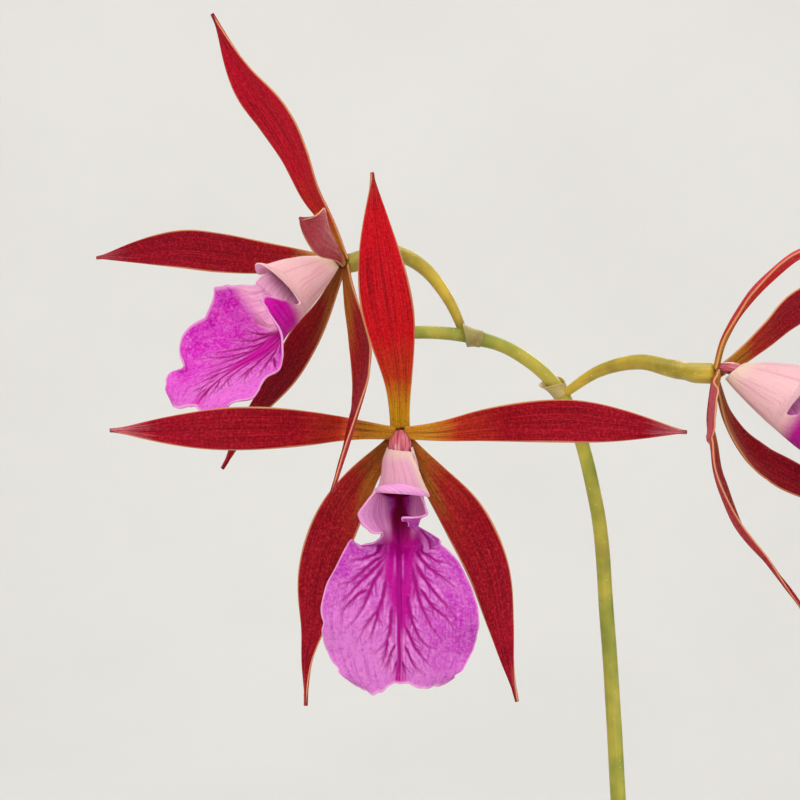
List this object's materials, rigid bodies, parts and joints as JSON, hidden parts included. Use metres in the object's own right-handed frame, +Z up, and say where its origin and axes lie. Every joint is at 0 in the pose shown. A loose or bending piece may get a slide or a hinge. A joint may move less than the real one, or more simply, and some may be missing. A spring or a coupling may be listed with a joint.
{
  "type": "potted encyvola orchid",
  "caption": "Potted orchid with strap leaves and one arching stem of star-shaped red blooms with broad pink lips, in a plain clay pot of bark.",
  "frame": {"origin": "middle of the pot's underside", "axes": "+Z up, -Y towards the front, where the front bloom looks"},
  "size_m": [0.2407, 0.2175, 0.4623],
  "materials": {
    "clay": "unglazed fired clay, dry and slightly chalky",
    "bark": "rough conifer bark chips",
    "root": "grey-green spongy root skin",
    "bulb": "ribbed waxy green",
    "leaf": "leathery satin green",
    "stem": "smooth yellow-green",
    "tepal": "deep red, golden at the root, fine lengthwise lines, pale thin edge",
    "lip": "orchid pink with branching magenta veins, pale rolled side lobes",
    "column": "waxy pink with crimson veins"
  },
  "bodies": {
    "root": {"pot": "clay", "bark": "bark", "rhizome": "root", "stem_bulb_1": "bulb", "stem_bulb_2": "bulb", "stem_bulb_3": "bulb", "stem_bulb_4": "bulb", "stem_bulb_5": "bulb", "leaf_1_1": "leaf", "leaf_2_1": "leaf", "leaf_2_2": "leaf", "leaf_3_1": "leaf", "leaf_3_2": "leaf", "leaf_4_1": "leaf", "leaf_4_2": "leaf", "leaf_5_1": "leaf", "leaf_5_2": "leaf", "flower_stem": "stem", "front_bloom_dorsal_sepal": "tepal", "front_bloom_right_petal": "tepal", "front_bloom_left_petal": "tepal", "front_bloom_right_sepal": "tepal", "front_bloom_left_sepal": "tepal", "front_bloom_lip": "lip", "front_bloom_column": "column", "left_bloom_dorsal_sepal": "tepal", "left_bloom_far_petal": "tepal", "left_bloom_near_petal": "tepal", "left_bloom_near_sepal": "tepal", "left_bloom_far_sepal": "tepal", "left_bloom_lip": "lip", "left_bloom_column": "column", "right_bloom_dorsal_sepal": "tepal", "right_bloom_far_petal": "tepal", "right_bloom_near_petal": "tepal", "right_bloom_near_sepal": "tepal", "right_bloom_far_sepal": "tepal", "right_bloom_lip": "lip", "right_bloom_column": "column"}
  },
  "joints": []
}
